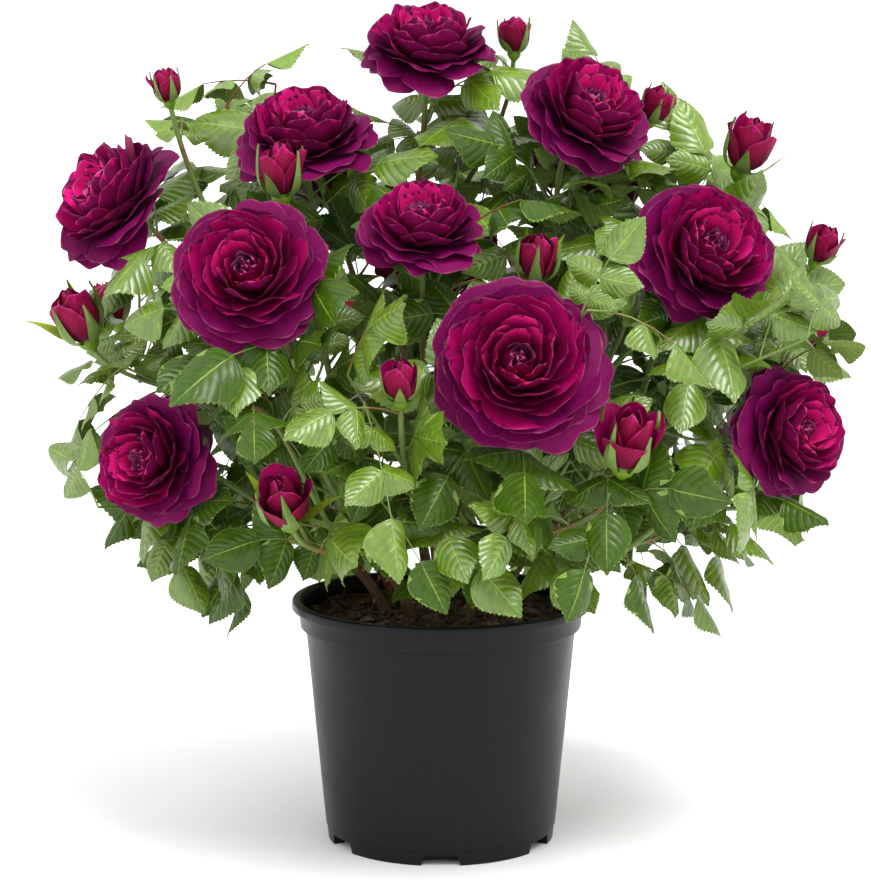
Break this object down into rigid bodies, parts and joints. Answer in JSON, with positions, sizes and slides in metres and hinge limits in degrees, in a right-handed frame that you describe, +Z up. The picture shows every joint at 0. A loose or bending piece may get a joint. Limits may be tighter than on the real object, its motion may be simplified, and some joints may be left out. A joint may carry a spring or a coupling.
{
  "type": "potted rose bush",
  "caption": "Bushy rose in a round nursery pot: branching canes, glossy compound leaves, cupped magenta rosettes and pointed buds all round.",
  "frame": {"origin": "middle of the pot's flat underside", "axes": "+Z up, -Y towards the front of the plant, +X to the right seen from the front"},
  "size_m": [0.6352, 0.5959, 0.6274],
  "materials": {
    "pot_plastic": "satin",
    "soil": "matte",
    "cane_bark": "satin",
    "foliage": "satin",
    "petals": "matte"
  },
  "bodies": {
    "root": {"pot": "pot_plastic", "soil": "soil", "cane_left": "cane_bark", "cane_upper_left": "cane_bark", "cane_top": "cane_bark", "cane_upper_right": "cane_bark", "cane_right": "cane_bark", "cane_low_right": "cane_bark", "cane_front": "cane_bark", "cane_middle": "cane_bark", "cane_front_left": "cane_bark", "cane_back_left": "cane_bark", "cane_back": "cane_bark", "cane_back_right": "cane_bark", "spray_back_left": "foliage", "spray_back_low": "foliage", "spray_back_low_left": "foliage", "spray_back_low_right": "foliage", "spray_back_middle": "foliage", "spray_back_right": "foliage", "spray_back_upper_left": "foliage", "spray_back_upper_right": "foliage", "spray_far_left": "foliage", "spray_far_right": "foliage", "spray_front": "foliage", "spray_front_centre": "foliage", "spray_front_left": "foliage", "spray_front_right": "foliage", "spray_left_leaves": "foliage", "spray_left_middle": "foliage", "spray_low_left": "foliage", "spray_low_right": "foliage", "spray_middle": "foliage", "spray_right_bud": "foliage", "spray_right_middle": "foliage", "spray_right_skirt": "foliage", "spray_tall_bud": "foliage", "spray_top": "foliage", "spray_upper_left": "foliage", "spray_upper_right": "foliage"}
  },
  "joints": []
}
